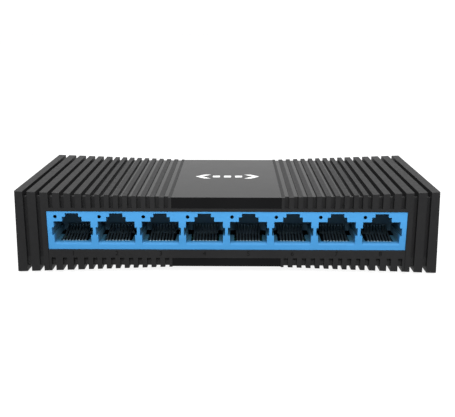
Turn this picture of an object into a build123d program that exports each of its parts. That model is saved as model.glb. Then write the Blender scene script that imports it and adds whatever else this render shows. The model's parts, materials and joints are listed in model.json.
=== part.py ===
from build123d import *
from math import radians, tan
import os

# Eight-port desktop network switch, in millimetres.
# Frame: origin at the bottom centre of the whole switch, +Z up, +X along the row of ports,
# and the ports face -Y. The power inlet is on the +Y side.

# --- Driving dimensions of the case ---
BASE_WIDTH = 134.5  # along X at the lower edge
BASE_DEPTH = 59.5  # along Y at the lower edge
CASE_HEIGHT = 26.5  # at the two ends, where the case is tallest
DRAFT_ANGLE = 1.64  # every side wall leans in by this much towards the top
CORNER_RADIUS = 0.9
FOOT_PROUD = 0.8  # how far the feet lift the case off the table
CROWN_DROP = 1.87  # the middle of the top lies this much below its ends
UNDERSIDE_DROP = 1.85  # the middle of the underside lies this much above its ends
FLAT_HALF_WIDTH = 18.5  # the ribs only start to rise beyond this distance from the centre
CROWN_END = 66.5  # where the rise is complete

CASE_BOTTOM = FOOT_PROUD
CASE_TOP = CASE_BOTTOM + CASE_HEIGHT
PANEL_TOP = CASE_TOP - CROWN_DROP  # level of the centre panel and of the groove floors
PANEL_BOTTOM = CASE_BOTTOM + UNDERSIDE_DROP

# --- Ribs ---
GROOVE_WIDTH = 1.35
GROOVE_DEPTH = 1.3  # on the front and back walls
FIRST_GROOVE = 18.95  # distance of the innermost groove from the centre
FINE_PITCH = 2.88
FINE_PITCHES = 9
WIDE_PITCHES = (3.4, 3.45, 3.6, 3.85, 4.05)  # the ribs widen towards the ends
END_GROOVES = 2  # the outermost grooves run down the whole front wall
PANEL_HALF_WIDTH = 17.3
PANEL_RECESS = 0.3
RIB_PROUD = 0.1  # the lowest ribs stand this much above the centre panel
TOP_LIP = 0.12  # bevel along the front and back edges of the top
BOTTOM_LIP = 0.06  # the same along the underside

# --- Walls ---
INNER_HALF_WIDTH = 64.6
INNER_HALF_DEPTH = 26.6
CEILING = PANEL_TOP - 1.8
FLOOR_INSIDE = PANEL_BOTTOM + 1.65
FIT_GAP = 0.1  # between neighbouring mouldings

# --- Ports ---
PORT_COUNT = 8
PORT_PITCH = 13.97
PORT_FACE = -BASE_DEPTH / 2 + 0.72  # Y of the port block's front face
WINDOW_HALF_WIDTH = 56.9
WINDOW_TOP = 20.8
WINDOW_BOTTOM = 8.2
BAND_TOP = 21.75  # the ribs stop here above the window
BAND_BOTTOM = 5.5  # and here below it
PORT_FLOOR = 10.57
PORT_CEILING = 17.46
PORT_DEPTH = 13.0
PORT_HALF_WIDTH = 5.87
SIDE_NOTCH_HALF_WIDTH = 6.53  # the wider part at mid height
SIDE_NOTCH_Z = (12.87, 15.46)
LATCH_HALF_WIDTHS = (3.11, 2.12)  # the latch notch narrows in one step
LATCH_STEP_Z = 18.95
LATCH_TOP = 20.11
BLOCK_FRONT_HALF_WIDTH = 56.8  # the part in the window
BLOCK_REAR_HALF_WIDTH = 57.7  # the part behind the front wall
BLOCK_STEP_Y = -26.4
BLOCK_TOP = 22.0
BLOCK_DEPTH = 16.6
SLOT_HALF_WIDTH = 4.55  # the slot in each floor that the contacts rise through
FLOOR_DEPTH = 8.2  # beyond this the socket has no floor
LIP_RADIUS = 0.9  # of the floors' front edges
LIGHT_Z = 19.0  # height of the small status light above each port
LIGHT_OFFSET = -5.27  # its X from the port's centre
LIGHT_HOLE_RADIUS = 0.56

# --- Contacts ---
WIRES = 8
WIRE_PITCH = 1.0
WIRE_WIDTH = 0.46
WIRE_THICK = 0.3
BEND_Y = PORT_FACE + 2.3  # the springs pivot about this line
BEND_Z = 10.3
BEND_RADIUS = 0.4
LEAD_TOP = BEND_Z - 0.3  # top face of the fixed leads, under the springs
LEAD_WIDTH = 0.4
LEAD_TIP_Z = 5.3  # the leads stand out this far below the board
KNEE_Y = PORT_FACE + 9.0
KNEE_Z = 12.1
TIP_Y = PORT_FACE + 12.2
TIP_Z = 12.6
CARRIER_HALF_WIDTH = 4.05
CARRIER_BOTTOM = 8.3
COMB_TOP = 13.1
COMB_SLOT_BOTTOM = 10.5

# --- Circuit board ---
BOARD_BOTTOM = 6.6
BOARD_TOP = WINDOW_BOTTOM
BOARD_HALF_WIDTH = 58.0
BOARD_FRONT = -26.3
BOARD_BACK = 24.6

# --- Power inlet ---
JACK_X = 45.0
JACK_Z = 14.6
JACK_FACE = 28.0
JACK_BORE_RADIUS = 3.1
JACK_PIN_RADIUS = 1.05
JACK_SPRING_Y = 18.6  # the sleeve spring pivots about this line
JACK_SPRING_Z = 9.0
POWER_LIGHT_X = 35.5
BEZEL_X = (29.2, 53.4)  # smooth patch of the rear wall round the inlet and its light
BEZEL_Z = (6.0, 22.6)

# --- Fasteners and feet ---
CASE_SCREW_X = 61.3
CASE_SCREW_Y = 22.4
BOARD_SCREWS = ((-54.0, 20.5), (54.0, 20.5), (-54.0, -5.0), (54.0, -5.0))
FOOT_X = 51.0
FOOT_Y = 13.5
FOOT_RADIUS = 4.2
FOOT_SEAT_Z = 1.9

REACH = 200.0  # longer than anything in the switch, for cutting tools
BEYOND = BASE_WIDTH / 2 + 5  # just past the case's ends


def bar(x_range, y_range, z_range):
    """A plain block given by its low and high coordinates."""
    (x0, x1), (y0, y1), (z0, z1) = x_range, y_range, z_range
    return Pos((x0 + x1) / 2, (y0 + y1) / 2, (z0 + z1) / 2) * Box(x1 - x0, y1 - y0, z1 - z0)


def post(x, y, z_range, radius):
    """An upright round rod."""
    z0, z1 = z_range
    return Pos(x, y, (z0 + z1) / 2) * Cylinder(radius, z1 - z0)


def rod_along_y(x, z, y_range, radius):
    """A round rod that runs front to back."""
    y0, y1 = y_range
    return Pos(x, (y0 + y1) / 2, z) * Rot(90, 0, 0) * Cylinder(radius, y1 - y0)


def prism_across(outline, x_centre, width):
    """A (y, z) outline given thickness along X, centred on x_centre."""
    face = Plane(origin=(x_centre, 0, 0), x_dir=(0, 1, 0), z_dir=(1, 0, 0)) * Polygon(*outline, align=None)
    return extrude(face, width / 2, both=True)


def group(solids):
    """Separate solids kept together in one node."""
    return Compound(children=list(solids))


def port_centres():
    middle = (PORT_COUNT - 1) / 2
    return [(index - middle) * PORT_PITCH for index in range(PORT_COUNT)]


def wire_centres(port_x):
    middle = (WIRES - 1) / 2
    return [port_x + (index - middle) * WIRE_PITCH for index in range(WIRES)]


def lead_drop_y(index):
    """The leads go down into the board in two staggered rows."""
    return PORT_FACE + (13.9 if index % 2 else 15.2)


# --- Case ---


def drafted_block(inset=0.0):
    """The case's outer block, with its front and back walls moved in by inset."""
    base = RectangleRounded(BASE_WIDTH, BASE_DEPTH - 2 * inset, CORNER_RADIUS)
    return Pos(0, 0, CASE_BOTTOM) * extrude(base, CASE_HEIGHT, taper=DRAFT_ANGLE)


def wall_y(z, inset):
    """How far the front wall, moved in by inset, stands from the centre at this height."""
    return BASE_DEPTH / 2 - inset - (z - CASE_BOTTOM) * tan(radians(DRAFT_ANGLE))


def bevelled_run(outline, lip_y):
    """An anticlockwise outline in X and Z, run from back to front and bevelled beyond lip_y."""
    section = Polygon(*outline, align=None)
    front_end = extrude(Plane.XZ.offset(lip_y) * section, 1.5, taper=45)
    return extrude(Plane.XZ * section, lip_y, both=True) + front_end + mirror(front_end, about=Plane.XZ)


def between_levels(top_profile, bottom_profile, inset):
    """The drafted block between two profiles, with bevelled lips at the front and back."""
    top_lip_y = wall_y(top_profile[0][1], inset) - TOP_LIP
    bottom_lip_y = wall_y(bottom_profile[0][1], inset) - BOTTOM_LIP
    below_top = bevelled_run([(-BEYOND, -REACH), (BEYOND, -REACH), *reversed(top_profile)], top_lip_y)
    above_bottom = bevelled_run([*bottom_profile, (BEYOND, REACH), (-BEYOND, REACH)], bottom_lip_y)
    return drafted_block(inset) & below_top & above_bottom


def ribbed_block():
    """The block under the dished top and above the dished underside, before the grooves."""
    slope = (CROWN_DROP - RIB_PROUD) / (CROWN_END - FLAT_HALF_WIDTH)
    rise = (BEYOND - FLAT_HALF_WIDTH) * slope
    top = PANEL_TOP + RIB_PROUD
    bottom = PANEL_BOTTOM - RIB_PROUD
    places = (-BEYOND, -FLAT_HALF_WIDTH, FLAT_HALF_WIDTH, BEYOND)
    rises = (rise, 0, 0, rise)
    top_profile = [(x, top + up) for x, up in zip(places, rises)]
    bottom_profile = [(x, bottom - down) for x, down in zip(places, rises)]
    return between_levels(top_profile, bottom_profile, 0.0)


def between_floors(inset):
    """The block between the levels of the centre panel and the groove floors."""
    top_profile = [(-BEYOND, PANEL_TOP), (BEYOND, PANEL_TOP)]
    bottom_profile = [(-BEYOND, PANEL_BOTTOM), (BEYOND, PANEL_BOTTOM)]
    return between_levels(top_profile, bottom_profile, inset)


def groove_centres():
    """Distances of the grooves from the centre, innermost first."""
    places = [FIRST_GROOVE]
    for step in [FINE_PITCH] * FINE_PITCHES + list(WIDE_PITCHES):
        places.append(places[-1] + step)
    return places


def groove_cutter():
    """All grooves as slabs, without what lies inside the groove floors."""
    places = groove_centres()
    half = GROOVE_WIDTH / 2
    everywhere = (-REACH, REACH)
    slabs = []
    for index, place in enumerate(places):
        for side in (-1, 1):
            across = (side * place - half, side * place + half)
            slab = bar(across, everywhere, everywhere)
            if index < len(places) - END_GROOVES:
                slab -= bar(across, (-REACH, 0), (BAND_BOTTOM, BAND_TOP))
            if BEZEL_X[0] < side * place < BEZEL_X[1]:
                slab -= bar(across, (0, REACH), BEZEL_Z)
            slabs.append(slab)
    return Part() + slabs - between_floors(GROOVE_DEPTH)


def panel_cutter():
    """The shallow recess of the smooth centre panel, right round the case."""
    everywhere = (-REACH, REACH)
    across = (-PANEL_HALF_WIDTH, PANEL_HALF_WIDTH)
    band = bar(everywhere, (-REACH, 0), (BAND_BOTTOM, BAND_TOP - 0.25))
    return bar(across, everywhere, everywhere) - between_floors(PANEL_RECESS) - band


def solid_case():
    """The finished outside of the closed case, with nothing inside it."""
    return ribbed_block() - groove_cutter() - panel_cutter()


def top_cover(outside):
    cavity = bar(
        (-INNER_HALF_WIDTH, INNER_HALF_WIDTH),
        (-INNER_HALF_DEPTH, INNER_HALF_DEPTH),
        (-1, CEILING),
    )
    window = bar((-WINDOW_HALF_WIDTH, WINDOW_HALF_WIDTH), (-REACH, -20), (-1, WINDOW_TOP))
    cover = outside - cavity - window
    for x in (-CASE_SCREW_X, CASE_SCREW_X):
        for y in (-CASE_SCREW_Y, CASE_SCREW_Y):
            cover += post(x, y, (FLOOR_INSIDE + FIT_GAP, CEILING + 0.5), 2.5)
            cover -= post(x, y, (0, 14.0), 1.15)
    pocket = bar((JACK_X - 7.0, JACK_X + 7.0), (JACK_FACE, REACH), (JACK_Z - 6.4, JACK_Z + 6.4))
    cover -= pocket
    cover -= rod_along_y(JACK_X, JACK_Z, (20, REACH), 4.3)
    cover -= rod_along_y(POWER_LIGHT_X, JACK_Z, (20, REACH), 1.6)
    return cover


def bottom_cover(outside):
    plate_half_width = INNER_HALF_WIDTH - FIT_GAP
    plate_half_depth = INNER_HALF_DEPTH - FIT_GAP
    strip_half_width = WINDOW_HALF_WIDTH - FIT_GAP
    plate = outside & bar(
        (-plate_half_width, plate_half_width),
        (-plate_half_depth, plate_half_depth),
        (-1, FLOOR_INSIDE),
    )
    sill = outside & bar((-strip_half_width, strip_half_width), (-REACH, -26.0), (-1, FLOOR_INSIDE))
    strip = outside & bar(
        (-strip_half_width, strip_half_width),
        (-REACH, BOARD_FRONT - 0.7),
        (-1, WINDOW_BOTTOM - FIT_GAP),
    )
    cover = plate + sill + strip
    for x in (-FOOT_X, FOOT_X):
        for y in (-FOOT_Y, FOOT_Y):
            cover += post(x, y, (CASE_BOTTOM + 0.65, PANEL_BOTTOM + 0.3), FOOT_RADIUS + 1.1)
            cover -= post(x, y, (-1, FOOT_SEAT_Z), FOOT_RADIUS + 0.15)
    for x in (-CASE_SCREW_X, CASE_SCREW_X):
        for y in (-CASE_SCREW_Y, CASE_SCREW_Y):
            cover += post(x, y, (CASE_BOTTOM + 0.45, FLOOR_INSIDE), 3.1)
            cover -= post(x, y, (-1, FLOOR_INSIDE - 1.0), 2.5)
            cover -= post(x, y, (-1, FLOOR_INSIDE + 1), 1.5)
    for x, y in BOARD_SCREWS:
        cover += post(x, y, (PANEL_BOTTOM + 0.3, BOARD_BOTTOM), 2.6)
        cover -= post(x, y, (PANEL_BOTTOM + 0.6, BOARD_BOTTOM + 1), 1.0)
    return cover


# --- Port block and contacts ---


def port_outline(port_x):
    """The stepped opening of one socket, with the latch notch at the top."""
    notch_low, notch_high = SIDE_NOTCH_Z
    latch_wide, latch_narrow = LATCH_HALF_WIDTHS
    half = [
        (PORT_HALF_WIDTH, PORT_FLOOR),
        (PORT_HALF_WIDTH, notch_low),
        (SIDE_NOTCH_HALF_WIDTH, notch_low),
        (SIDE_NOTCH_HALF_WIDTH, notch_high),
        (PORT_HALF_WIDTH, notch_high),
        (PORT_HALF_WIDTH, PORT_CEILING),
        (latch_wide, PORT_CEILING),
        (latch_wide, LATCH_STEP_Z),
        (latch_narrow, LATCH_STEP_Z),
        (latch_narrow, LATCH_TOP),
    ]
    right = [(port_x + x, z) for x, z in half]
    left = [(port_x - x, z) for x, z in reversed(half)]
    return Plane.XZ * Polygon(*right, *left, align=None)


def port_block():
    front = bar(
        (-BLOCK_FRONT_HALF_WIDTH, BLOCK_FRONT_HALF_WIDTH),
        (PORT_FACE, BLOCK_STEP_Y),
        (WINDOW_BOTTOM, WINDOW_TOP - FIT_GAP),
    )
    rear = bar(
        (-BLOCK_REAR_HALF_WIDTH, BLOCK_REAR_HALF_WIDTH),
        (BLOCK_STEP_Y, PORT_FACE + BLOCK_DEPTH),
        (WINDOW_BOTTOM, BLOCK_TOP),
    )
    block = front + rear
    for x in port_centres():
        block -= Pos(0, PORT_FACE, 0) * extrude(port_outline(x), -PORT_DEPTH)
        block -= bar(
            (x - SLOT_HALF_WIDTH, x + SLOT_HALF_WIDTH),
            (PORT_FACE + 1.75, PORT_FACE + PORT_DEPTH),
            (0, PORT_FLOOR + 1),
        )
        block -= bar(
            (x - PORT_HALF_WIDTH, x + PORT_HALF_WIDTH),
            (PORT_FACE + FLOOR_DEPTH, PORT_FACE + PORT_DEPTH),
            (0, PORT_FLOOR + 1),
        )
        lead_way = (PORT_FACE + 12.0, PORT_FACE + BLOCK_DEPTH - 0.6)
        block -= bar((x - SLOT_HALF_WIDTH, x + SLOT_HALF_WIDTH), lead_way, (0, LEAD_TOP + 0.45))
        block -= rod_along_y(x + LIGHT_OFFSET, LIGHT_Z, (-REACH, REACH), LIGHT_HOLE_RADIUS)
    lips = [
        edge
        for edge in block.edges().filter_by(Axis.X)
        if abs(edge.center().Y - PORT_FACE) < 0.01 and abs(edge.center().Z - PORT_FLOOR) < 0.01
    ]
    return fillet(lips, LIP_RADIUS)


def contact_carrier(port_x):
    """The comb that holds one socket's eight leads and guides its eight springs."""
    base_top = LEAD_TOP - WIRE_THICK - 0.05
    across = (port_x - CARRIER_HALF_WIDTH, port_x + CARRIER_HALF_WIDTH)
    base = bar(across, (PORT_FACE + 1.9, PORT_FACE + 12.0), (CARRIER_BOTTOM, base_top))
    comb = bar(across, (PORT_FACE + 11.2, PORT_FACE + 12.9), (CARRIER_BOTTOM, COMB_TOP))
    carrier = base + comb
    for x in wire_centres(port_x):
        slot = (COMB_SLOT_BOTTOM, COMB_TOP + 1)
        carrier -= bar((x - 0.31, x + 0.31), (PORT_FACE + 11, PORT_FACE + 12.5), slot)
        carrier -= bar((x - 0.28, x + 0.28), (PORT_FACE + 11, PORT_FACE + 13), (base_top, LEAD_TOP + 0.05))
    return carrier


def port_contacts(port_x):
    """Eight spring legs that slant up from their front bends into the comb."""
    leg = [
        (BEND_Y - 0.1, BEND_Z + BEND_RADIUS - WIRE_THICK),
        (KNEE_Y, KNEE_Z),
        (TIP_Y, TIP_Z),
        (TIP_Y, TIP_Z + WIRE_THICK),
        (KNEE_Y, KNEE_Z + WIRE_THICK),
        (BEND_Y - 0.1, BEND_Z + BEND_RADIUS - 0.02),
    ]
    springs = []
    for x in wire_centres(port_x):
        bend = Pos(x, BEND_Y, BEND_Z) * Rot(0, 90, 0) * Cylinder(BEND_RADIUS, WIRE_WIDTH)
        springs.append(bend + prism_across(leg, x, WIRE_WIDTH))
    return group(springs)


def contact_leads():
    """The fixed half of every contact: back along the carrier and down into the board."""
    leads = []
    for port_x in port_centres():
        for index, x in enumerate(wire_centres(port_x)):
            drop = lead_drop_y(index)
            outline = [
                (BEND_Y + 0.35, LEAD_TOP),
                (BEND_Y + 0.35, LEAD_TOP - WIRE_THICK),
                (drop - WIRE_THICK, LEAD_TOP - WIRE_THICK),
                (drop - WIRE_THICK, LEAD_TIP_Z),
                (drop, LEAD_TIP_Z),
                (drop, LEAD_TOP),
            ]
            leads.append(prism_across(outline, x, LEAD_WIDTH))
    return group(leads)


def light_pipes():
    """Clear rods that bring the status lights to the front of the block."""
    y_range = (PORT_FACE + 1.5, PORT_FACE + 16.8)
    radius = LIGHT_HOLE_RADIUS - 0.06
    return group(rod_along_y(x + LIGHT_OFFSET, LIGHT_Z, y_range, radius) for x in port_centres())


def status_light_x(port_x):
    return port_x + LIGHT_OFFSET


def status_led(port_x):
    """A side-looking diode behind one light pipe."""
    x = status_light_x(port_x)
    y = PORT_FACE + 17.0
    body = bar((x - 1.1, x + 1.1), (y + 0.9, y + 3.0), (LIGHT_Z - 1.3, LIGHT_Z + 1.3))
    return body + rod_along_y(x, LIGHT_Z, (y, y + 1.0), 0.9)


def status_led_leads():
    """Two legs from each diode, down through the board."""
    y = PORT_FACE + 19.0
    legs = []
    for port_x in port_centres():
        for x in (status_light_x(port_x) - 0.64, status_light_x(port_x) + 0.64):
            legs.append(bar((x - 0.2, x + 0.2), (y - 0.2, y + 0.2), (5.3, LIGHT_Z - 1.3)))
    return group(legs)


# --- Circuit board and what is on it ---

CHIP_X, CHIP_Y = 2.0, 10.5
CHIP_HALF = 7.0
LEAD_PITCH = 0.8
LEADS_PER_SIDE = 16
TRANSFORMER_Y = -4.4
TRANSFORMER_HALF = (7.4, 3.4)
CRYSTAL_X, CRYSTAL_Y = 19.0, 8.0
CAPACITORS = ((38.0, 6.5), (47.0, 6.5))
INDUCTOR_X, INDUCTOR_Y = 28.5, 16.5
DIODE_X, DIODE_Y = 31.5, 9.0
REGULATOR_X, REGULATOR_Y = 20.5, 17.0


def board_holes():
    """(x, y, radius) of every hole through the board."""
    holes = [(x, y, 1.4) for x, y in BOARD_SCREWS]
    for port_x in port_centres():
        for index, x in enumerate(wire_centres(port_x)):
            holes.append((x, lead_drop_y(index) - WIRE_THICK / 2, 0.36))
        for x in (status_light_x(port_x) - 0.64, status_light_x(port_x) + 0.64):
            holes.append((x, PORT_FACE + 19.0, 0.36))
    for x, y in CAPACITORS:
        holes += [(x - 1.25, y, 0.4), (x + 1.25, y, 0.4)]
    holes += [(CRYSTAL_X - 2.44, CRYSTAL_Y, 0.35), (CRYSTAL_X + 2.44, CRYSTAL_Y, 0.35)]
    holes += [(JACK_X, 14.6, 1.1), (JACK_X, 20.6, 1.1), (JACK_X + 4.6, 17.6, 1.1)]
    holes += [(POWER_LIGHT_X - 1.27, 21.0, 0.4), (POWER_LIGHT_X + 1.27, 21.0, 0.4)]
    return holes


def main_board():
    board = bar((-BOARD_HALF_WIDTH, BOARD_HALF_WIDTH), (BOARD_FRONT, BOARD_BACK), (BOARD_BOTTOM, BOARD_TOP))
    drills = [post(x, y, (BOARD_BOTTOM - 1, BOARD_TOP + 1), radius) for x, y, radius in board_holes()]
    return board - drills


def switch_chip():
    body = Pos(CHIP_X, CHIP_Y, BOARD_TOP + 0.8) * Box(2 * CHIP_HALF, 2 * CHIP_HALF, 1.4)
    dot = post(CHIP_X - CHIP_HALF + 1.6, CHIP_Y + CHIP_HALF - 1.6, (BOARD_TOP + 1.4, BOARD_TOP + 2), 0.6)
    return chamfer(body.faces().sort_by(Axis.Z)[-1].edges(), 0.2) - dot


def gull_wing(reach):
    """A chip's lead: out of the body, down, and flat on the board, pointing along +Y from the origin."""
    outline = [
        (0, 0.9),
        (0.4, 0.9),
        (0.6, 0.2),
        (reach, 0.2),
        (reach, 0.02),
        (0.45, 0.02),
        (0.25, 0.72),
        (0, 0.72),
    ]
    return prism_across(outline, 0, 0.3)


def switch_chip_leads():
    lead = gull_wing(1.2)
    middle = (LEADS_PER_SIDE - 1) / 2
    leads = []
    for turn in range(4):
        for index in range(LEADS_PER_SIDE):
            along = (index - middle) * LEAD_PITCH
            place = Pos(CHIP_X, CHIP_Y, BOARD_TOP) * Rot(0, 0, 90 * turn) * Pos(along, CHIP_HALF, 0)
            leads.append(place * lead)
    return group(leads)


def transformer_centres():
    return [-42.0, -14.0, 14.0, 42.0]


def isolation_transformer(x):
    half_x, half_y = TRANSFORMER_HALF
    body = Pos(x, TRANSFORMER_Y, BOARD_TOP + 2.5) * Box(2 * half_x, 2 * half_y, 4.6)
    return chamfer(body.faces().sort_by(Axis.Z)[-1].edges(), 0.4)


def transformer_leads():
    lead = gull_wing(1.1)
    leads = []
    for x in transformer_centres():
        for turn in (0, 2):
            for index in range(10):
                along = (index - 4.5) * 1.27
                place = Pos(x, TRANSFORMER_Y, BOARD_TOP) * Rot(0, 0, 90 * turn)
                leads.append(place * Pos(along, TRANSFORMER_HALF[1], 0) * lead)
    return group(leads)


def crystal():
    """A low can with round ends and two wire legs."""
    can = extrude(SlotOverall(10.6, 4.4), 3.2)
    flange = extrude(SlotOverall(11.4, 4.9), 0.5)
    legs = [post(x, 0, (-2.6, 0.3), 0.22) for x in (-2.44, 2.44)]
    return Pos(CRYSTAL_X, CRYSTAL_Y, BOARD_TOP + 0.1) * (flange + can + legs)


def electrolytic_capacitors():
    cans = []
    for x, y in CAPACITORS:
        can = post(x, y, (BOARD_TOP + 0.1, BOARD_TOP + 9.6), 3.1)
        can = chamfer(can.faces().sort_by(Axis.Z)[-1].edges(), 0.4)
        can += [post(x + side, y, (5.6, BOARD_TOP + 0.3), 0.28) for side in (-1.25, 1.25)]
        cans.append(can)
    return group(cans)


def power_inductor():
    body = extrude(RectangleRounded(7.2, 7.2, 1.6), 4.2)
    window = extrude(Circle(2.6), 1.0)
    return Pos(INDUCTOR_X, INDUCTOR_Y, BOARD_TOP + 0.02) * (body - Pos(0, 0, 3.4) * window)


def voltage_regulator():
    x, y = REGULATOR_X, REGULATOR_Y
    body = Pos(x, y, BOARD_TOP + 0.9) * Box(6.4, 3.4, 1.6)
    foot_z = (BOARD_TOP + 0.02, BOARD_TOP + 0.3)
    tab = bar((x - 1.5, x + 1.5), (y + 1.5, y + 3.4), foot_z)
    legs = [bar((x + side - 0.35, x + side + 0.35), (y - 3.4, y - 1.5), foot_z) for side in (-2.3, 0, 2.3)]
    return body + tab + legs


def input_diode():
    body = Pos(DIODE_X, DIODE_Y, BOARD_TOP + 1.2) * Box(4.4, 2.6, 2.2)
    ends = [Pos(DIODE_X + side, DIODE_Y, BOARD_TOP + 0.2) * Box(1.2, 1.5, 0.3) for side in (-2.3, 2.3)]
    return body + ends


def small_part_rows():
    """Places of the small soldered parts: two rows round the chip and one behind each transformer."""
    capacitors = [(-10.0 + 4.0 * index, 20.5) for index in range(7)]
    capacitors += [(-9.5, 3.0 + 3.0 * index) for index in range(5)]
    resistors = []
    for x in transformer_centres():
        resistors += [(x - 4.5 + 3.0 * index, 1.4) for index in range(4)]
    return capacitors, resistors


def ceramic_capacitors():
    places, _ = small_part_rows()
    return group(Pos(x, y, BOARD_TOP + 0.43) * Box(1.6, 0.8, 0.8) for x, y in places)


def chip_resistors():
    _, places = small_part_rows()
    return group(Pos(x, y, BOARD_TOP + 0.28) * Box(1.6, 0.8, 0.5) for x, y in places)


# --- Power inlet ---


def dc_jack_body():
    body = bar((JACK_X - 4.5, JACK_X + 4.5), (14.0, 26.3), (BOARD_TOP + 0.05, JACK_Z + 5.4))
    body += rod_along_y(JACK_X, JACK_Z, (26.0, JACK_FACE), 4.1)
    body -= rod_along_y(JACK_X, JACK_Z, (17.0, REACH), JACK_BORE_RADIUS)
    body -= bar((JACK_X - 0.9, JACK_X + 0.9), (18.0, 25.0), (BOARD_TOP - 1, JACK_Z))
    body -= rod_along_y(JACK_X, JACK_Z, (13.0, 18.0), JACK_PIN_RADIUS + 0.05)
    return body


def dc_jack_pin():
    pin = rod_along_y(JACK_X, JACK_Z, (15.0, 26.9), JACK_PIN_RADIUS)
    tip = chamfer(pin.faces().sort_by(Axis.Y)[-1].edges(), 0.35)
    return tip - rod_along_y(JACK_X, JACK_Z, (14.0, 17.0), 0.5)


def dc_jack_spring():
    """The sleeve contact: a leaf that stands in the bore's lower slot, hinged at its rear end."""
    leaf = [
        (JACK_SPRING_Y, JACK_SPRING_Z + 0.15),
        (23.4, JACK_Z - 2.3),
        (24.6, JACK_Z - 2.6),
        (24.5, JACK_Z - 2.9),
        (23.5, JACK_Z - 2.65),
        (JACK_SPRING_Y, JACK_SPRING_Z - 0.15),
    ]
    curl = Pos(JACK_X, JACK_SPRING_Y, JACK_SPRING_Z) * Rot(0, 90, 0) * Cylinder(0.35, 1.4)
    return prism_across(leaf, JACK_X, 1.4) + curl


def dc_jack_terminals():
    """Three flat solder legs."""
    rear = bar((JACK_X - 0.8, JACK_X + 0.8), (14.4, 14.8), (5.4, BOARD_TOP + 0.04))
    front = bar((JACK_X - 0.8, JACK_X + 0.8), (20.4, 20.8), (5.4, BOARD_TOP + 0.04))
    side = bar((JACK_X + 4.5, JACK_X + 4.8), (16.9, 18.3), (5.4, BOARD_TOP + 2.0))
    return group([rear, front, side])


def power_led():
    """A round-nosed diode behind the small hole in the rear wall."""
    y_seat = 23.0
    nose = rod_along_y(POWER_LIGHT_X, JACK_Z, (y_seat, 27.0), 1.45)
    dome = Pos(POWER_LIGHT_X, 27.0, JACK_Z) * Sphere(1.45)
    collar = rod_along_y(POWER_LIGHT_X, JACK_Z, (y_seat, y_seat + 1.0), 1.9)
    return nose + dome + collar


def power_led_leads():
    legs = []
    for x in (POWER_LIGHT_X - 1.27, POWER_LIGHT_X + 1.27):
        outline = [
            (22.95, JACK_Z + 0.25),
            (20.75, JACK_Z + 0.25),
            (20.75, 5.4),
            (21.25, 5.4),
            (21.25, JACK_Z - 0.25),
            (22.95, JACK_Z - 0.25),
        ]
        legs.append(prism_across(outline, x, 0.4))
    return group(legs)


# --- Fasteners, feet and label ---


def cross_recess(depth):
    """A cross-shaped driver recess, opening along +Z from the origin."""
    slot = Box(2.2, 0.6, depth, align=(Align.CENTER, Align.CENTER, Align.MAX))
    return slot + Rot(0, 0, 90) * slot


def pan_screw(shank_radius, shank_length, head_radius, head_height):
    """A screw with its head's underside at the origin and its shank along -Z."""
    head = Cylinder(head_radius, head_height, align=(Align.CENTER, Align.CENTER, Align.MIN))
    head = chamfer(head.faces().sort_by(Axis.Z)[-1].edges(), 0.3)
    shank = Cylinder(shank_radius, shank_length, align=(Align.CENTER, Align.CENTER, Align.MAX))
    return head + shank - Pos(0, 0, head_height + 0.01) * cross_recess(head_height * 0.6)


def case_screws():
    screw = Rot(180, 0, 0) * pan_screw(1.1, 8.0, 2.2, 1.5)
    height = FLOOR_INSIDE - 1.0
    return group(
        Pos(x, y, height) * screw
        for x in (-CASE_SCREW_X, CASE_SCREW_X)
        for y in (-CASE_SCREW_Y, CASE_SCREW_Y)
    )


def board_screws():
    screw = pan_screw(0.95, 4.4, 2.2, 1.3)
    return group(Pos(x, y, BOARD_TOP) * screw for x, y in BOARD_SCREWS)


def rubber_foot(x, y):
    foot = post(x, y, (0, FOOT_SEAT_Z), FOOT_RADIUS)
    return chamfer(foot.faces().sort_by(Axis.Z)[0].edges(), 0.4)


def rating_label():
    """A blank sticker on the middle of the underside."""
    return extrude(Plane.XY.offset(PANEL_BOTTOM) * RectangleRounded(30, 42, 1.0), -0.12)


def build_nodes():
    """Every separate piece of the switch, by name."""
    outside = solid_case()
    nodes = {
        "top_cover": top_cover(outside),
        "bottom_cover": bottom_cover(outside),
        "port_block": port_block(),
        "contact_leads": contact_leads(),
        "light_pipes": light_pipes(),
        "status_led_leads": status_led_leads(),
        "main_board": main_board(),
        "switch_chip": switch_chip(),
        "switch_chip_leads": switch_chip_leads(),
        "transformer_leads": transformer_leads(),
        "crystal": crystal(),
        "electrolytic_capacitors": electrolytic_capacitors(),
        "power_inductor": power_inductor(),
        "voltage_regulator": voltage_regulator(),
        "input_diode": input_diode(),
        "ceramic_capacitors": ceramic_capacitors(),
        "chip_resistors": chip_resistors(),
        "dc_jack_body": dc_jack_body(),
        "dc_jack_pin": dc_jack_pin(),
        "dc_jack_spring": dc_jack_spring(),
        "dc_jack_terminals": dc_jack_terminals(),
        "power_led": power_led(),
        "power_led_leads": power_led_leads(),
        "case_screws": case_screws(),
        "board_screws": board_screws(),
        "rating_label": rating_label(),
    }
    for number, x in enumerate(port_centres(), start=1):
        nodes[f"port_{number}_contacts"] = port_contacts(x)
        nodes[f"port_{number}_contact_carrier"] = contact_carrier(x)
        nodes[f"port_{number}_status_led"] = status_led(x)
    for number, x in enumerate(transformer_centres(), start=1):
        nodes[f"isolation_transformer_{number}"] = isolation_transformer(x)
    for name, x, y in (
        ("foot_front_left", -FOOT_X, -FOOT_Y),
        ("foot_front_right", FOOT_X, -FOOT_Y),
        ("foot_rear_left", -FOOT_X, FOOT_Y),
        ("foot_rear_right", FOOT_X, FOOT_Y),
    ):
        nodes[name] = rubber_foot(x, y)
    return nodes


os.makedirs("parts", exist_ok=True)
for node_name, shape in build_nodes().items():
    export_step(shape, f"parts/{node_name}.step")
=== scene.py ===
import json
import math

import bmesh
import bpy
from mathutils import Matrix, Vector

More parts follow.
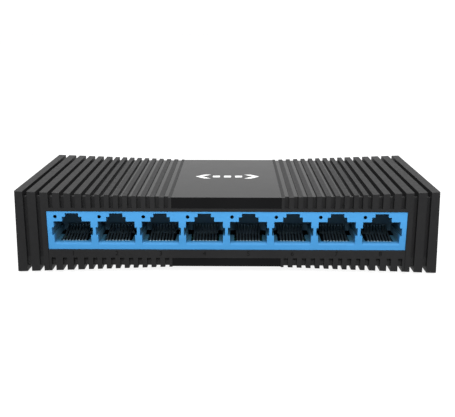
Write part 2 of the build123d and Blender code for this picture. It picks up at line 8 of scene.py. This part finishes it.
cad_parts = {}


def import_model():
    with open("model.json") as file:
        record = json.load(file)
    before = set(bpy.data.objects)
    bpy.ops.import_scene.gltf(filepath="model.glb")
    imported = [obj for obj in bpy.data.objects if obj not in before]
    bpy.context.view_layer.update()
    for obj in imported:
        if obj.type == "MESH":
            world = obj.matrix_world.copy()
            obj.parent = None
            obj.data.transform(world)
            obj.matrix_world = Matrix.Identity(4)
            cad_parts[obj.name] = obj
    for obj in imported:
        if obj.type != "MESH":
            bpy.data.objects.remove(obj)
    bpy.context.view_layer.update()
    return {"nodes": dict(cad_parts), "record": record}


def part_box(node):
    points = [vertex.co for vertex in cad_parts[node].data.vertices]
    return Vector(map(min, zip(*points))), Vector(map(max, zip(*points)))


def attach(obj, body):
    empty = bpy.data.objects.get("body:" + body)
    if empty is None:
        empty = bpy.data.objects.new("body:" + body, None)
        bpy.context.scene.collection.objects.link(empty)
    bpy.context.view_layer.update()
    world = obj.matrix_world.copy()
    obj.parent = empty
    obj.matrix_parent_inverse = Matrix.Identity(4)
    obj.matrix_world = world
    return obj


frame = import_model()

MM = 0.001
NODES = frame["nodes"]

# --- Places on the object, from its own nodes ---
CASE_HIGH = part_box("top_cover")[1]
BLOCK_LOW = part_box("port_block")[0]
PORT_COUNT = 8
PORT_BOXES = [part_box(f"port_{number}_contacts") for number in range(1, PORT_COUNT + 1)]
PORT_CENTRES = [(low.x + high.x) / 2 for low, high in PORT_BOXES]
CROWN_DROP = 1.87 * MM
PANEL_TOP = CASE_HIGH.z - CROWN_DROP
PANEL_HALF_WIDTH = 17.3 * MM
BAND_MIDDLE = 13.62 * MM
BAND_HALF_HEIGHT = 8.12 * MM
BAND_BOTTOM = BAND_MIDDLE - BAND_HALF_HEIGHT
GROOVE_FLOOR_Y = CASE_HIGH.y - 1.6 * MM
GROOVE_RIM_Y = CASE_HIGH.y - 0.7 * MM
# Painted shade: past this depth and under the socket floor the housing is near black
VOID_SHADE_DEPTH = 8.2 * MM
SHADE_DEPTH = 3.4 * MM
# Painted shade inside the sockets: side walls, back wall, inner floors and the darker blue of upward faces
SHADED_SIDE_BLUE = (0.062, 0.145, 0.215)
SHADED_BACK_BLUE = (0.125, 0.245, 0.345)
SHADED_FLOOR_BLUE = (0.032, 0.10, 0.155)
SHADED_LIP_BLUE = (0.029, 0.138, 0.293)
# Painted shade: the blue face darkens from FADE_HIGH down to FADE_LOW
FADE_LOW = 11.5 * MM
FADE_HIGH = 18.5 * MM
BACK_WALL_DEPTH = 12.9 * MM
# Painted shade: the comb's teeth are darker below this height
COMB_SHADE_TOP = 12.75 * MM
# Painted shade: the bores of the light holes are near black within this radius
HOLE_SHADE_RADIUS = 0.575 * MM
CARRIER_BASE = 9.65 * MM
PORT_FLOOR = 10.6 * MM
PORT_PITCH = 13.97 * MM
HOLE_Z = 19.0 * MM
FIRST_HOLE_X = PORT_CENTRES[0] - 5.27 * MM

# --- Edges ---
EDGE_WIDTHS = {"top_cover": 0.16 * MM, "bottom_cover": 0.16 * MM, "port_block": 0.12 * MM}

# --- Camera ---
CAMERA_PLACE = Vector((2.7, -236.8, 80.3)) * MM
CAMERA_PITCH = math.radians(-15.72)
CAMERA_YAW = math.radians(0.655)
FOCAL_LENGTH = 54.46
SENSOR_WIDTH = 36.0

# --- Printing ---
MARK_HALF_WIDTH = 11.2 * MM
MARK_HALF_HEIGHT = 2.9 * MM
MARK_Y = -0.35 * MM
CHEVRON_RUN = 3.0 * MM
CHEVRON_STROKE = 2.3 * MM
SQUARE_HALF = 1.25 * MM
SQUARE_CORNER = 0.35 * MM
SQUARE_STEP = 3.9 * MM
INK_THICKNESS = 0.03 * MM
NUMBER_HEIGHT = 1.5 * MM
DIGIT_SHARE = 0.72  # a digit's height as a share of the font size
NUMBER_Z = 7.0 * MM

# --- Light ---
KEY_POWER = 3.2
FRONT_POWER = 6.2
CAMERA_WHITE = 1.05
FLOOR_GLOW = 0.9
FLOOR_DROP = 0.02 * MM  # keeps the floor clear of the feet's undersides
FLOOR_HALF_SIZE = 3.0
SKY_FRONT = 0.34
SKY_BACK = 0.72
GROUND_GLOW = 0.9


# --- Shader helpers ---


class Shader:
    """A Principled material with a few short ways to add detail."""

    def __init__(self, name, base, roughness, metallic=0.0, **sockets):
        self.material = bpy.data.materials.new(name)
        self.material.use_nodes = True
        self.tree = self.material.node_tree
        self.bsdf = self.tree.nodes["Principled BSDF"]
        self.bsdf.inputs["Base Color"].default_value = (*base, 1.0)
        self.bsdf.inputs["Roughness"].default_value = roughness
        self.bsdf.inputs["Metallic"].default_value = metallic
        for socket, value in sockets.items():
            self.bsdf.inputs[socket.replace("_", " ")].default_value = value
        self.place = self.node("ShaderNodeTexCoord").outputs["Object"]

    def node(self, kind, **settings):
        node = self.tree.nodes.new(kind)
        for name, value in settings.items():
            setattr(node, name, value)
        return node

    def link(self, source, target):
        self.tree.links.new(source, target)

    def noise(self, scale, detail=3.0, stretch=None):
        """Noise over the object, scale in repeats per metre, stretched along some axes if asked."""
        noise = self.node("ShaderNodeTexNoise")
        noise.inputs["Scale"].default_value = scale
        noise.inputs["Detail"].default_value = detail
        place = self.place
        if stretch:
            mapping = self.node("ShaderNodeMapping")
            mapping.inputs["Scale"].default_value = stretch
            self.link(place, mapping.inputs["Vector"])
            place = mapping.outputs["Vector"]
        self.link(place, noise.inputs["Vector"])
        return noise.outputs["Fac"]

    def spread(self, value, low, high, from_low=0.3, from_high=0.7):
        """Maps a noise value on to a range."""
        node = self.node("ShaderNodeMapRange")
        limits = {"From Min": from_low, "From Max": from_high, "To Min": low, "To Max": high}
        for name, number in limits.items():
            node.inputs[name].default_value = number
        self.link(value, node.inputs["Value"])
        return node.outputs["Result"]

    def math(self, operation, *values):
        node = self.node("ShaderNodeMath", operation=operation)
        for socket, value in zip(node.inputs, values):
            if isinstance(value, (int, float)):
                socket.default_value = value
            else:
                self.link(value, socket)
        return node.outputs["Value"]

    def mix(self, factor, first, second):
        """Mixes two colours, each a colour or a socket."""
        node = self.node("ShaderNodeMix", data_type="RGBA")
        self.link(factor, node.inputs["Factor"])
        for name, value in (("A", first), ("B", second)):
            socket = [s for s in node.inputs if s.name == name and s.type == "RGBA"][0]
            if isinstance(value, tuple):
                socket.default_value = (*value, 1.0)
            else:
                self.link(value, socket)
        return [s for s in node.outputs if s.type == "RGBA"][0]

    def blend_values(self, factor, first, second):
        """first where factor is 0 and second where it is 1."""
        node = self.node("ShaderNodeMix", data_type="FLOAT")
        self.link(factor, node.inputs["Factor"])
        for name, value in (("A", first), ("B", second)):
            socket = [s for s in node.inputs if s.name == name and s.type == "VALUE"][0]
            if isinstance(value, (int, float)):
                socket.default_value = value
            else:
                self.link(value, socket)
        return [s for s in node.outputs if s.type == "VALUE"][0]

    def colour(self, socket):
        self.link(socket, self.bsdf.inputs["Base Color"])

    def roughness(self, socket):
        self.link(socket, self.bsdf.inputs["Roughness"])

    def bump(self, height, depth, strength=1.0):
        """Relief of the given depth in metres."""
        node = self.node("ShaderNodeBump")
        node.inputs["Distance"].default_value = depth
        if isinstance(strength, (int, float)):
            node.inputs["Strength"].default_value = strength
        else:
            self.link(strength, node.inputs["Strength"])
        self.link(height, node.inputs["Height"])
        self.link(node.outputs["Normal"], self.bsdf.inputs["Normal"])


# --- Materials ---


def case_plastic():
    """Black case plastic: fine matte texture on the ribs, gloss on the centre panel and groove floors, and
    painted light making the front and back groove floors below the window band lighter.
    """
    s = Shader("case_plastic", (0.013, 0.013, 0.0135), 0.45, Specular_IOR_Level=0.27)
    axes = s.node("ShaderNodeSeparateXYZ")
    s.link(s.place, axes.inputs["Vector"])
    x, y, z = axes.outputs
    across = s.math("ABSOLUTE", x)
    from_band = s.math("ABSOLUTE", s.math("SUBTRACT", z, BAND_MIDDLE))
    outside_band = s.math("GREATER_THAN", from_band, BAND_HALF_HEIGHT)
    in_panel = s.math("MULTIPLY", s.math("LESS_THAN", across, PANEL_HALF_WIDTH), outside_band)
    facing = s.node("ShaderNodeSeparateXYZ")
    s.link(s.node("ShaderNodeTexCoord").outputs["Normal"], facing.inputs["Vector"])
    upward = s.math("GREATER_THAN", facing.outputs["Z"], 0.3)
    floor_level = s.math("LESS_THAN", s.math("ABSOLUTE", s.math("SUBTRACT", z, PANEL_TOP)), 0.03 * MM)
    glossy = s.math("MAXIMUM", in_panel, s.math("MULTIPLY", upward, floor_level))
    grain = s.noise(5200, 2.0)
    patches = s.noise(55, 3.0)
    matte_colour = s.mix(s.spread(patches, 0.0, 1.0), (0.0105, 0.0105, 0.011), (0.0132, 0.0132, 0.0137))
    gloss_colour = s.mix(s.spread(patches, 0.0, 1.0), (0.003, 0.003, 0.0033), (0.0045, 0.0045, 0.005))
    depth = s.math("ABSOLUTE", y)
    behind_rim = s.math("LESS_THAN", depth, GROOVE_RIM_Y)
    in_groove = s.math("MULTIPLY", behind_rim, s.math("GREATER_THAN", depth, GROOVE_FLOOR_Y))
    # Painted light: the groove floors below the window band are lighter than the rest of the matte plastic
    lit_low_groove = s.math("MULTIPLY", in_groove, s.math("LESS_THAN", z, BAND_BOTTOM))
    matte_colour = s.mix(lit_low_groove, matte_colour, (0.019, 0.019, 0.0195))
    s.colour(s.mix(glossy, matte_colour, gloss_colour))
    matte = s.spread(s.noise(900, 4.0), 0.42, 0.52)
    gloss = s.spread(s.noise(300, 5.0), 0.17, 0.21)
    s.roughness(s.blend_values(glossy, matte, gloss))
    s.bump(grain, 0.012 * MM, s.blend_values(glossy, 0.7, 0.012))
    return s.material


def port_plastic():
    """Blue socket housing: smooth moulding with faint flow marks; painted shade darkens the face towards the
    bottom, its upward faces and the sockets far inside, and makes the void under the socket floors and the
    bores of the light holes near black.
    """
    s = Shader("port_plastic", (0.055, 0.255, 0.55), 0.5, Specular_IOR_Level=0.1)
    flow = s.noise(140, 4.0, (1.0, 0.4, 3.0))
    high_blue = s.mix(s.spread(flow, 0.0, 1.0), (0.059, 0.268, 0.566), (0.064, 0.286, 0.602))
    shaded_low_blue = s.mix(s.spread(flow, 0.0, 1.0), (0.050, 0.228, 0.481), (0.055, 0.243, 0.512))
    axes = s.node("ShaderNodeSeparateXYZ")
    s.link(s.place, axes.inputs["Vector"])
    x, y, z = axes.outputs
    # Painted shade: the face is a darker blue towards the bottom
    blue = s.mix(s.spread(z, 0.0, 1.0, FADE_LOW, FADE_HIGH), shaded_low_blue, high_blue)
    # Painted shade: darker, greyer colours further inside the sockets, with a darker blue on upward faces
    shade = s.spread(y, 0.0, 1.0, BLOCK_LOW.y + 0.1 * MM, BLOCK_LOW.y + SHADE_DEPTH)
    facing = s.node("ShaderNodeSeparateXYZ")
    s.link(s.node("ShaderNodeTexCoord").outputs["Normal"], facing.inputs["Vector"])
    lip = s.spread(facing.outputs["Z"], 0.0, 1.0, 0.1, 0.9)
    at_back = s.math("GREATER_THAN", y, BLOCK_LOW.y + BACK_WALL_DEPTH)
    deep = s.mix(lip, s.mix(at_back, SHADED_SIDE_BLUE, SHADED_BACK_BLUE), SHADED_FLOOR_BLUE)
    shaded = s.mix(shade, s.mix(lip, blue, SHADED_LIP_BLUE), deep)
    # Painted shade: near black in the void behind the socket floors
    past_floor = s.math("GREATER_THAN", y, BLOCK_LOW.y + VOID_SHADE_DEPTH)
    shaded_void = s.math("MULTIPLY", past_floor, s.math("LESS_THAN", z, PORT_FLOOR))
    # Painted shade: near black in the bores of the light holes
    beside_hole = s.math("WRAP", s.math("SUBTRACT", x, FIRST_HOLE_X), PORT_PITCH / 2, -PORT_PITCH / 2)
    above_hole = s.math("SUBTRACT", z, HOLE_Z)
    across_squared = s.math("MULTIPLY", beside_hole, beside_hole)
    distance = s.math("SQRT", s.math("ADD", across_squared, s.math("MULTIPLY", above_hole, above_hole)))
    shaded_bore = s.math("LESS_THAN", distance, HOLE_SHADE_RADIUS)
    s.colour(s.mix(s.math("MAXIMUM", shaded_void, shaded_bore), shaded, (0.002, 0.003, 0.004)))
    s.roughness(s.spread(s.noise(1500, 3.0), 0.44, 0.56))
    s.bump(s.noise(4200, 2.0), 0.006 * MM, 0.4)
    return s.material


def carrier_plastic():
    """Slate blue comb; painted shade makes its base between the wires nearly black and its teeth darker below
    the comb's top.
    """
    s = Shader("carrier_plastic", (0.012, 0.03, 0.055), 0.5, Specular_IOR_Level=0.2)
    axes = s.node("ShaderNodeSeparateXYZ")
    s.link(s.place, axes.inputs["Vector"])
    # Painted shade: the base between the wires is near black, and the teeth are darker below the top
    raised = s.spread(axes.outputs["Z"], 0.0, 1.0, CARRIER_BASE + 0.1 * MM, CARRIER_BASE + 0.5 * MM)
    comb = s.mix(s.spread(s.noise(400, 3.0), 0.0, 1.0), (0.10, 0.18, 0.23), (0.115, 0.20, 0.255))
    top = s.spread(axes.outputs["Z"], 0.0, 1.0, COMB_SHADE_TOP - 0.1 * MM, COMB_SHADE_TOP)
    teeth = s.mix(top, (0.058, 0.092, 0.112), comb)
    s.colour(s.mix(raised, (0.003, 0.004, 0.006), teeth))
    s.roughness(s.spread(s.noise(1800, 3.0), 0.42, 0.58))
    s.bump(s.noise(5200, 2.0), 0.005 * MM, 0.4)
    return s.material


def contact_metal():
    """Drawn spring wire, with fine lines along its length; its dark slate blue colour is a painted reflection
    of the socket round it, and painted shade makes its fixed lower part nearly black.
    """
    s = Shader("contact_metal", (0.6, 0.62, 0.63), 0.4, metallic=1.0)
    lines = s.noise(2400, 3.0, (4.0, 0.2, 0.4))
    # Painted reflection: the wire colour is a dark slate blue standing in for the dark blue socket it
    # reflects
    bright = s.mix(s.spread(lines, 0.0, 1.0), (0.115, 0.165, 0.195), (0.15, 0.21, 0.245))
    axes = s.node("ShaderNodeSeparateXYZ")
    s.link(s.place, axes.inputs["Vector"])
    # Painted shade: the fixed lower part of each wire is near black
    shaded_fixed_half = s.math("LESS_THAN", axes.outputs["Z"], CARRIER_BASE + 0.36 * MM)
    s.colour(s.mix(shaded_fixed_half, bright, (0.02, 0.02, 0.022)))
    s.roughness(s.spread(lines, 0.42, 0.52))
    s.bump(lines, 0.0015 * MM, 0.2)
    return s.material


def tinned_metal():
    s = Shader("tinned_metal", (0.7, 0.7, 0.68), 0.35, metallic=1.0)
    s.colour(s.mix(s.spread(s.noise(1200, 4.0), 0.0, 1.0), (0.58, 0.58, 0.57), (0.76, 0.76, 0.74)))
    s.roughness(s.spread(s.noise(1600, 3.0), 0.28, 0.5))
    s.bump(s.noise(2600, 3.0), 0.008 * MM, 0.5)
    return s.material


def screw_metal():
    """Zinc-plated steel, unevenly dull."""
    s = Shader("screw_metal", (0.3, 0.3, 0.31), 0.32, metallic=1.0)
    s.colour(s.mix(s.spread(s.noise(700, 4.0), 0.0, 1.0), (0.25, 0.25, 0.27), (0.38, 0.38, 0.38)))
    s.roughness(s.spread(s.noise(1900, 4.0), 0.25, 0.45))
    s.bump(s.noise(3000, 3.0), 0.006 * MM, 0.5)
    return s.material


def solder_mask():
    """Green board lacquer over glass weave, with tracks as raised lines."""
    s = Shader("solder_mask", (0.015, 0.13, 0.05), 0.3)
    weave = s.node("ShaderNodeTexWave", wave_type="BANDS", bands_direction="X")
    weave.inputs["Scale"].default_value = 420
    weave.inputs["Distortion"].default_value = 0.6
    s.link(s.place, weave.inputs["Vector"])
    tracks = s.node("ShaderNodeTexBrick")
    tracks.inputs["Scale"].default_value = 150
    tracks.inputs["Mortar Size"].default_value = 0.03
    s.link(s.place, tracks.inputs["Vector"])
    track = tracks.outputs["Fac"]
    s.colour(s.mix(track, (0.012, 0.105, 0.04), (0.022, 0.17, 0.065)))
    s.roughness(s.spread(s.noise(500, 4.0), 0.24, 0.38))
    s.bump(s.math("ADD", s.math("MULTIPLY", weave.outputs["Fac"], 0.2), track), 0.02 * MM, 0.5)
    return s.material


def plain_plastic(name, dark, light, rough_low, rough_high, grain=3600, depth=0.008):
    """Moulded parts inside the case: two close tones, uneven sheen and a fine grain."""
    s = Shader(name, dark, (rough_low + rough_high) / 2)
    s.colour(s.mix(s.spread(s.noise(600, 4.0), 0.0, 1.0), dark, light))
    s.roughness(s.spread(s.noise(1500, 3.0), rough_low, rough_high))
    s.bump(s.noise(grain, 2.0), depth * MM, 0.6)
    return s.material


def brushed_can(name, dark, light):
    s = Shader(name, dark, 0.3, metallic=1.0)
    lines = s.noise(1800, 3.0, (0.4, 0.4, 5.0))
    s.colour(s.mix(s.spread(lines, 0.0, 1.0), dark, light))
    s.roughness(s.spread(lines, 0.22, 0.4))
    s.bump(lines, 0.006 * MM, 0.4)
    return s.material


def foot_rubber():
    s = Shader("foot_rubber", (0.02, 0.02, 0.021), 0.75)
    s.colour(s.mix(s.spread(s.noise(350, 5.0), 0.0, 1.0), (0.015, 0.015, 0.016), (0.032, 0.032, 0.033)))
    s.roughness(s.spread(s.noise(1400, 4.0), 0.65, 0.85))
    s.bump(s.noise(2400, 4.0), 0.03 * MM, 0.6)
    return s.material


def label_film():
    """Blank white film with a faint fibre texture."""
    s = Shader("label_film", (0.72, 0.72, 0.70), 0.5)
    s.colour(s.mix(s.spread(s.noise(200, 5.0), 0.0, 1.0), (0.68, 0.68, 0.66), (0.76, 0.76, 0.74)))
    s.roughness(s.spread(s.noise(900, 4.0), 0.42, 0.6))
    s.bump(s.noise(2600, 4.0), 0.01 * MM, 0.5)
    return s.material


def lens_epoxy(name, dark, light):
    s = Shader(name, dark, 0.3, IOR=1.5, Specular_IOR_Level=0.3)
    s.colour(s.mix(s.spread(s.noise(700, 3.0), 0.0, 1.0), dark, light))
    s.roughness(s.spread(s.noise(1100, 3.0), 0.25, 0.4))
    s.bump(s.noise(1500, 2.0), 0.004 * MM, 0.3)
    return s.material


def printed_ink(name, dark, light, gleam):
    """Pad-printed ink: slightly uneven cover and a soft sheen."""
    s = Shader(name, dark, 0.45, Specular_IOR_Level=gleam)
    s.colour(s.mix(s.spread(s.noise(2500, 4.0), 0.0, 1.0), dark, light))
    s.roughness(s.spread(s.noise(1500, 3.0), 0.38, 0.55))
    s.bump(s.noise(3800, 2.0), 0.004 * MM, 0.5)
    return s.material


def materials():
    return {
        "case_black": case_plastic(),
        "port_blue": port_plastic(),
        "carrier_blue": carrier_plastic(),
        "contact_metal": contact_metal(),
        "lead_tin": tinned_metal(),
        "board_green": solder_mask(),
        "chip_black": plain_plastic("chip_epoxy", (0.014, 0.014, 0.015), (0.024, 0.024, 0.026), 0.5, 0.65),
        "transformer_black": plain_plastic(
            "transformer_shell", (0.011, 0.011, 0.012), (0.018, 0.018, 0.02), 0.3, 0.42
        ),
        "crystal_steel": brushed_can("crystal_can", (0.6, 0.6, 0.6), (0.75, 0.75, 0.74)),
        "capacitor_can": brushed_can("capacitor_sleeve", (0.05, 0.06, 0.10), (0.08, 0.10, 0.15)),
        "ferrite": plain_plastic("ferrite", (0.04, 0.04, 0.042), (0.07, 0.07, 0.072), 0.55, 0.75),
        "ceramic_tan": plain_plastic("ceramic", (0.33, 0.21, 0.10), (0.42, 0.28, 0.15), 0.4, 0.55),
        "resistor_black": plain_plastic(
            "resistor_film", (0.012, 0.012, 0.013), (0.02, 0.02, 0.022), 0.35, 0.5
        ),
        "jack_black": plain_plastic("jack_moulding", (0.010, 0.010, 0.011), (0.016, 0.016, 0.018), 0.28, 0.4),
        "jack_metal": tinned_metal(),
        "led_green": lens_epoxy("led_lens", (0.10, 0.22, 0.11), (0.14, 0.28, 0.15)),
        "pipe_clear": lens_epoxy("light_pipe", (0.001, 0.0015, 0.002), (0.003, 0.003, 0.004)),
        "screw_steel": screw_metal(),
        "foot_rubber": foot_rubber(),
        "label_white": label_film(),
    }


def dress_nodes(looks):
    """Gives every CAD node its material."""
    for part in frame["record"]["subparts"]:
        mesh = NODES[part["node"]].data
        mesh.materials.clear()
        mesh.materials.append(looks[part["material_slot"]])


# --- Finer edges on the CAD nodes ---


def soften_edges(node, width, segments=2):
    """Small moulded radii on a node's sharp edges, as modifiers."""
    piece = NODES[node]
    weld = piece.modifiers.new("weld", "WELD")
    weld.merge_threshold = 0.0005 * MM
    flat = piece.modifiers.new("flat", "DECIMATE")
    flat.decimate_type = "DISSOLVE"
    flat.angle_limit = math.radians(0.4)
    bevel = piece.modifiers.new("bevel", "BEVEL")
    bevel.width = width
    bevel.segments = segments
    bevel.limit_method = "ANGLE"
    bevel.angle_limit = math.radians(35)
    for face in piece.data.polygons:
        face.use_smooth = False


# --- Printing on the case ---


def flat_piece(name, outlines, thickness, look):
    """A thin printed shape in its own XY plane, standing on Z = 0, from closed outlines in metres."""
    shape = bmesh.new()
    for outline in outlines:
        low_ring = [shape.verts.new((x, y, 0.0)) for x, y in outline]
        high_ring = [shape.verts.new((x, y, thickness)) for x, y in outline]
        shape.faces.new(high_ring)
        shape.faces.new(low_ring[::-1])
        for i, start in enumerate(low_ring):
            j = (i + 1) % len(low_ring)
            shape.faces.new((start, low_ring[j], high_ring[j], high_ring[i]))
    bmesh.ops.recalc_face_normals(shape, faces=shape.faces)
    mesh = bpy.data.meshes.new(name)
    shape.to_mesh(mesh)
    shape.free()
    mesh.materials.append(look)
    piece = bpy.data.objects.new(name, mesh)
    bpy.context.scene.collection.objects.link(piece)
    return piece


def chevron(tip_x, width, half_height, stroke):
    """An arrowhead whose tip is at tip_x and whose arms run back by width."""
    inner = stroke * math.copysign(1.0, width)
    return [
        (tip_x, 0.0),
        (tip_x + width, half_height),
        (tip_x + width + inner, half_height),
        (tip_x + inner, 0.0),
        (tip_x + width + inner, -half_height),
        (tip_x + width, -half_height),
    ]


def rounded_square(x, half, corner, steps=5):
    points = []
    for quarter in range(4):
        middle = math.radians(45 + 90 * quarter)
        cx = x + math.copysign(half - corner, math.cos(middle))
        cy = math.copysign(half - corner, math.sin(middle))
        for i in range(steps + 1):
            angle = math.radians(90 * quarter + 90 * i / steps)
            points.append((cx + corner * math.cos(angle), cy + corner * math.sin(angle)))
    return points


def panel_mark(look):
    """A generic network sign, two arrowheads round three squares."""
    outlines = [
        chevron(-MARK_HALF_WIDTH, CHEVRON_RUN, MARK_HALF_HEIGHT, CHEVRON_STROKE),
        chevron(MARK_HALF_WIDTH, -CHEVRON_RUN, MARK_HALF_HEIGHT, CHEVRON_STROKE),
    ]
    outlines += [rounded_square(step * SQUARE_STEP, SQUARE_HALF, SQUARE_CORNER) for step in (-1, 0, 1)]
    mark = flat_piece("panel_mark", outlines, INK_THICKNESS, look)
    mark.location = (0.0, MARK_Y, PANEL_TOP + INK_THICKNESS * 0.1)
    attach(mark, "switch")


def front_face_at(x, z):
    """Where a line from the front first meets the bottom cover at this X and Z, and the face's normal."""
    strip = NODES["bottom_cover"]
    hit, place, normal, _ = strip.ray_cast(Vector((x, -0.1, z)), Vector((0.0, 1.0, 0.0)))
    if not hit:
        raise ValueError("the front strip is missing")
    return place, normal


def port_number(index, x, look):
    """The plain number under a port, set on the front strip."""
    data = bpy.data.curves.new(f"number_{index}", "FONT")
    data.body = str(index)
    data.size = NUMBER_HEIGHT / DIGIT_SHARE
    data.align_x = "CENTER"
    data.align_y = "CENTER"
    data.extrude = INK_THICKNESS / 2
    text = bpy.data.objects.new(f"number_{index}_outline", data)
    bpy.context.scene.collection.objects.link(text)
    bpy.context.view_layer.update()
    mesh = bpy.data.meshes.new_from_object(text.evaluated_get(bpy.context.evaluated_depsgraph_get()))
    bpy.data.objects.remove(text)
    mesh.name = f"port_number_{index}"
    mesh.materials.clear()
    mesh.materials.append(look)
    piece = bpy.data.objects.new(f"port_number_{index}", mesh)
    bpy.context.scene.collection.objects.link(piece)
    place, normal = front_face_at(x, NUMBER_Z)
    up = Vector((0.0, 0.0, 1.0))
    across = up.cross(normal).normalized()
    turn = Matrix((across, normal.cross(across), normal)).transposed().to_4x4()
    piece.matrix_world = Matrix.Translation(place + normal * INK_THICKNESS * 0.3) @ turn
    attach(piece, "switch")


# --- Stage, lights and camera ---


def camera():
    data = bpy.data.cameras.new("camera")
    data.lens = FOCAL_LENGTH
    data.sensor_width = SENSOR_WIDTH
    data.clip_start = 0.01
    data.clip_end = 20
    view = bpy.data.objects.new("camera", data)
    bpy.context.scene.collection.objects.link(view)
    forward = Vector((
        -math.sin(CAMERA_YAW) * math.cos(CAMERA_PITCH),
        math.cos(CAMERA_YAW) * math.cos(CAMERA_PITCH),
        math.sin(CAMERA_PITCH),
    ))
    view.location = CAMERA_PLACE
    view.rotation_euler = forward.to_track_quat("-Z", "Y").to_euler()
    bpy.context.scene.camera = view


def area_light(name, place, target, size, energy):
    data = bpy.data.lights.new(name, "AREA")
    data.shape = "RECTANGLE"
    data.size, data.size_y = size
    data.energy = energy
    lamp = bpy.data.objects.new(name, data)
    bpy.context.scene.collection.objects.link(lamp)
    lamp.location = place
    lamp.rotation_euler = (Vector(target) - Vector(place)).to_track_quat("-Z", "Y").to_euler()


def lights():
    area_light("key", (-0.05, -0.18, 0.66), (0, 0, 0.02), (0.6, 0.22), KEY_POWER)
    area_light("front", (0.05, -0.5, 0.42), (0, 0, 0.01), (0.8, 0.25), FRONT_POWER)


def world():
    """White to the camera; for light and reflections, dim in front and bright behind and above."""
    studio = bpy.data.worlds.new("studio")
    studio.use_nodes = True
    tree = studio.node_tree
    background = tree.nodes["Background"]
    direction = tree.nodes.new("ShaderNodeTexCoord")
    axes = tree.nodes.new("ShaderNodeSeparateXYZ")
    tree.links.new(direction.outputs["Generated"], axes.inputs["Vector"])
    backward = tree.nodes.new("ShaderNodeMapRange")
    backward.interpolation_type = "SMOOTHSTEP"
    backward.inputs["From Min"].default_value = -0.35
    backward.inputs["From Max"].default_value = 0.45
    backward.inputs["To Min"].default_value = SKY_FRONT
    backward.inputs["To Max"].default_value = SKY_BACK
    tree.links.new(axes.outputs["Y"], backward.inputs["Value"])
    upward = tree.nodes.new("ShaderNodeMapRange")
    upward.interpolation_type = "SMOOTHSTEP"
    upward.inputs["From Min"].default_value = -0.1
    upward.inputs["From Max"].default_value = 0.02
    upward.inputs["To Min"].default_value = GROUND_GLOW
    upward.inputs["To Max"].default_value = 1.0
    tree.links.new(axes.outputs["Z"], upward.inputs["Value"])
    glow = tree.nodes.new("ShaderNodeMath")
    glow.operation = "MULTIPLY"
    tree.links.new(backward.outputs["Result"], glow.inputs[0])
    tree.links.new(upward.outputs["Result"], glow.inputs[1])
    path = tree.nodes.new("ShaderNodeLightPath")
    seen = tree.nodes.new("ShaderNodeMix")
    tree.links.new(path.outputs["Is Camera Ray"], seen.inputs["Factor"])
    tree.links.new(glow.outputs["Value"], seen.inputs["A"])
    seen.inputs["B"].default_value = CAMERA_WHITE
    tree.links.new(seen.outputs["Result"], background.inputs["Strength"])
    background.inputs["Color"].default_value = (1.0, 1.0, 1.0, 1.0)
    bpy.context.scene.world = studio


def floor():
    """White glowing paper with only a faint contact shadow; it throws no light on the object."""
    mesh = bpy.data.meshes.new("floor")
    shape = bmesh.new()
    bmesh.ops.create_grid(shape, x_segments=1, y_segments=1, size=FLOOR_HALF_SIZE)
    shape.to_mesh(mesh)
    shape.free()
    piece = bpy.data.objects.new("floor", mesh)
    bpy.context.scene.collection.objects.link(piece)
    piece.location.z = -FLOOR_DROP
    s = Shader("floor_paper", (0.2, 0.2, 0.2), 0.9, Emission_Strength=FLOOR_GLOW, Specular_IOR_Level=0.0)
    s.bsdf.inputs["Emission Color"].default_value = (1.0, 1.0, 1.0, 1.0)
    s.colour(s.mix(s.spread(s.noise(3, 3.0), 0.0, 1.0), (0.19, 0.19, 0.19), (0.21, 0.21, 0.21)))
    mesh.materials.append(s.material)
    piece.visible_diffuse = False
    piece.visible_glossy = False
    piece.visible_transmission = False


# --- Build ---

bpy.context.scene.view_settings.view_transform = "Standard"
camera()
lights()
world()
floor()
LOOKS = materials()
dress_nodes(LOOKS)
for name, width in EDGE_WIDTHS.items():
    soften_edges(name, width)

panel_mark(printed_ink("mark_ink", (0.78, 0.78, 0.78), (0.86, 0.86, 0.86), 0.5))
NUMBER_INK = printed_ink("number_ink", (0.002, 0.002, 0.002), (0.004, 0.004, 0.004), 0.1)
for number, centre in enumerate(PORT_CENTRES, start=1):
    port_number(number, centre, NUMBER_INK)
